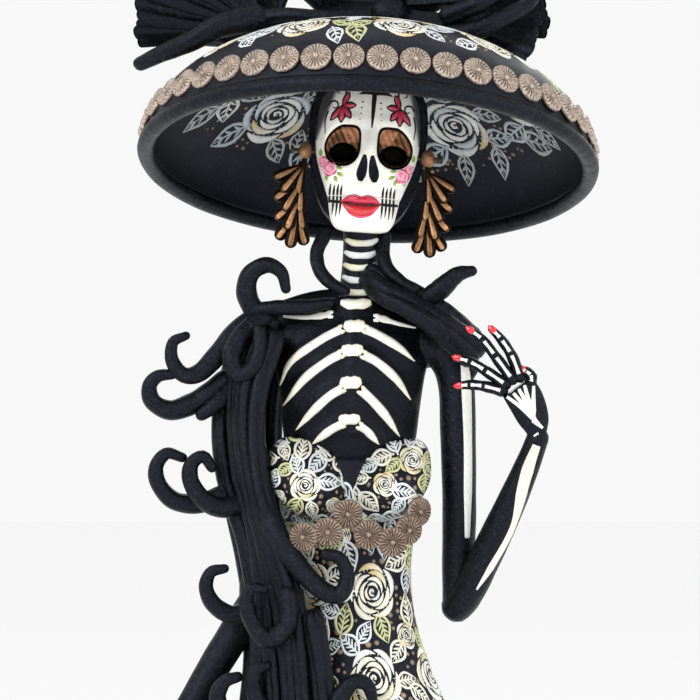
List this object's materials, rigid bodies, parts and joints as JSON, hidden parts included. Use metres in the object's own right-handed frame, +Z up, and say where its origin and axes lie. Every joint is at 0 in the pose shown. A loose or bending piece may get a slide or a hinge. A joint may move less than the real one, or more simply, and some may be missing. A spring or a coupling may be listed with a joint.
{
  "type": "catrina figure",
  "caption": "Tall black clay catrina figure in a painted gown, with a curled feather scarf, swinging leaf earrings and a wide flowered hat that turns and lifts off a peg.",
  "frame": {"origin": "middle of the underside of the base slab, on the surface the figure stands on", "axes": "+Z up along the figure; the figure faces -Y; the figure's right arm and scarf are on -X, its bent left arm on +X"},
  "size_m": [0.1952, 0.1796, 0.5725],
  "materials": {
    "black_clay": "matte",
    "painted_clay": "satin",
    "painted_bone": "satin",
    "red_paint": "gloss",
    "champagne_clay": "satin",
    "bronze_clay": "satin",
    "brass_wire": "satin",
    "bare_wood": "matte",
    "steel_wire": "satin"
  },
  "bodies": {
    "figure": {"base_board": "black_clay", "spine_rod": "steel_wire", "skirt_shell": "painted_clay", "hem_roll": "painted_clay", "bodice": "painted_clay", "bust_cup_right": "painted_clay", "bust_cup_left": "painted_clay", "belt_rosettes": "champagne_clay", "torso": "black_clay", "ribs": "painted_bone", "breastbone": "painted_bone", "collar_bones": "painted_bone", "neck": "black_clay", "neck_bands": "painted_bone", "skull": "painted_bone", "lower_jaw": "painted_bone", "lips": "red_paint", "eye_sockets": "bronze_clay", "nose_marks": "black_clay", "hair_cap": "black_clay", "hat_seat": "bare_wood", "ear_pins": "brass_wire", "upper_arm_left": "black_clay", "forearm_left": "black_clay", "hand_left": "black_clay", "fingers_left": "black_clay", "nails_left": "red_paint", "arm_wire_left": "steel_wire", "upper_arm_right": "black_clay", "forearm_right": "black_clay", "hand_right": "black_clay", "fingers_right": "black_clay", "nails_right": "red_paint", "arm_wire_right": "steel_wire", "scarf_shoulder_wrap": "black_clay", "scarf_neck_loops": "black_clay", "scarf_top_hook": "black_clay", "scarf_upper_curls": "black_clay", "scarf_middle_curls": "black_clay", "scarf_lower_curls": "black_clay", "scarf_front_strand": "black_clay", "scarf_long_strands": "black_clay", "scarf_back_strands": "black_clay"},
    "hat_peg": {"hat_peg": "bare_wood"},
    "hat": {"hat_bowl": "painted_clay", "hat_lip": "black_clay", "hat_crown": "black_clay", "hat_socket": "bare_wood", "brim_rosettes": "champagne_clay", "fan_leaves": "black_clay", "rolled_petals": "black_clay", "calla_petals": "black_clay", "calla_button": "black_clay", "curled_petals": "black_clay", "plumes": "black_clay"},
    "earring_right": {"earring_bead_right": "bronze_clay", "earring_leaves_right": "bronze_clay"},
    "earring_left": {"earring_bead_left": "bronze_clay", "earring_leaves_left": "bronze_clay"}
  },
  "joints": [
    {"name": "hat_turn", "type": "hinge", "parent": "figure", "child": "hat_peg", "pos_m": [0.0064, 0, 0.462], "axis": [0.0502, 0.284, 0.9575], "continuous": true},
    {"name": "hat_lift", "type": "slide", "parent": "hat_peg", "child": "hat", "axis": [0.0502, 0.284, 0.9575], "range_m": [0, 0.03]},
    {"name": "earring_right_swing", "type": "hinge", "parent": "figure", "child": "earring_right", "pos_m": [-0.01868, -0.003, 0.46572], "axis": [0.9976, 0, -0.0698], "range_deg": [-12, 12]},
    {"name": "earring_left_swing", "type": "hinge", "parent": "figure", "child": "earring_left", "pos_m": [0.0304, -0.003, 0.46229], "axis": [0.9976, 0, -0.0698], "range_deg": [-12, 12]}
  ]
}
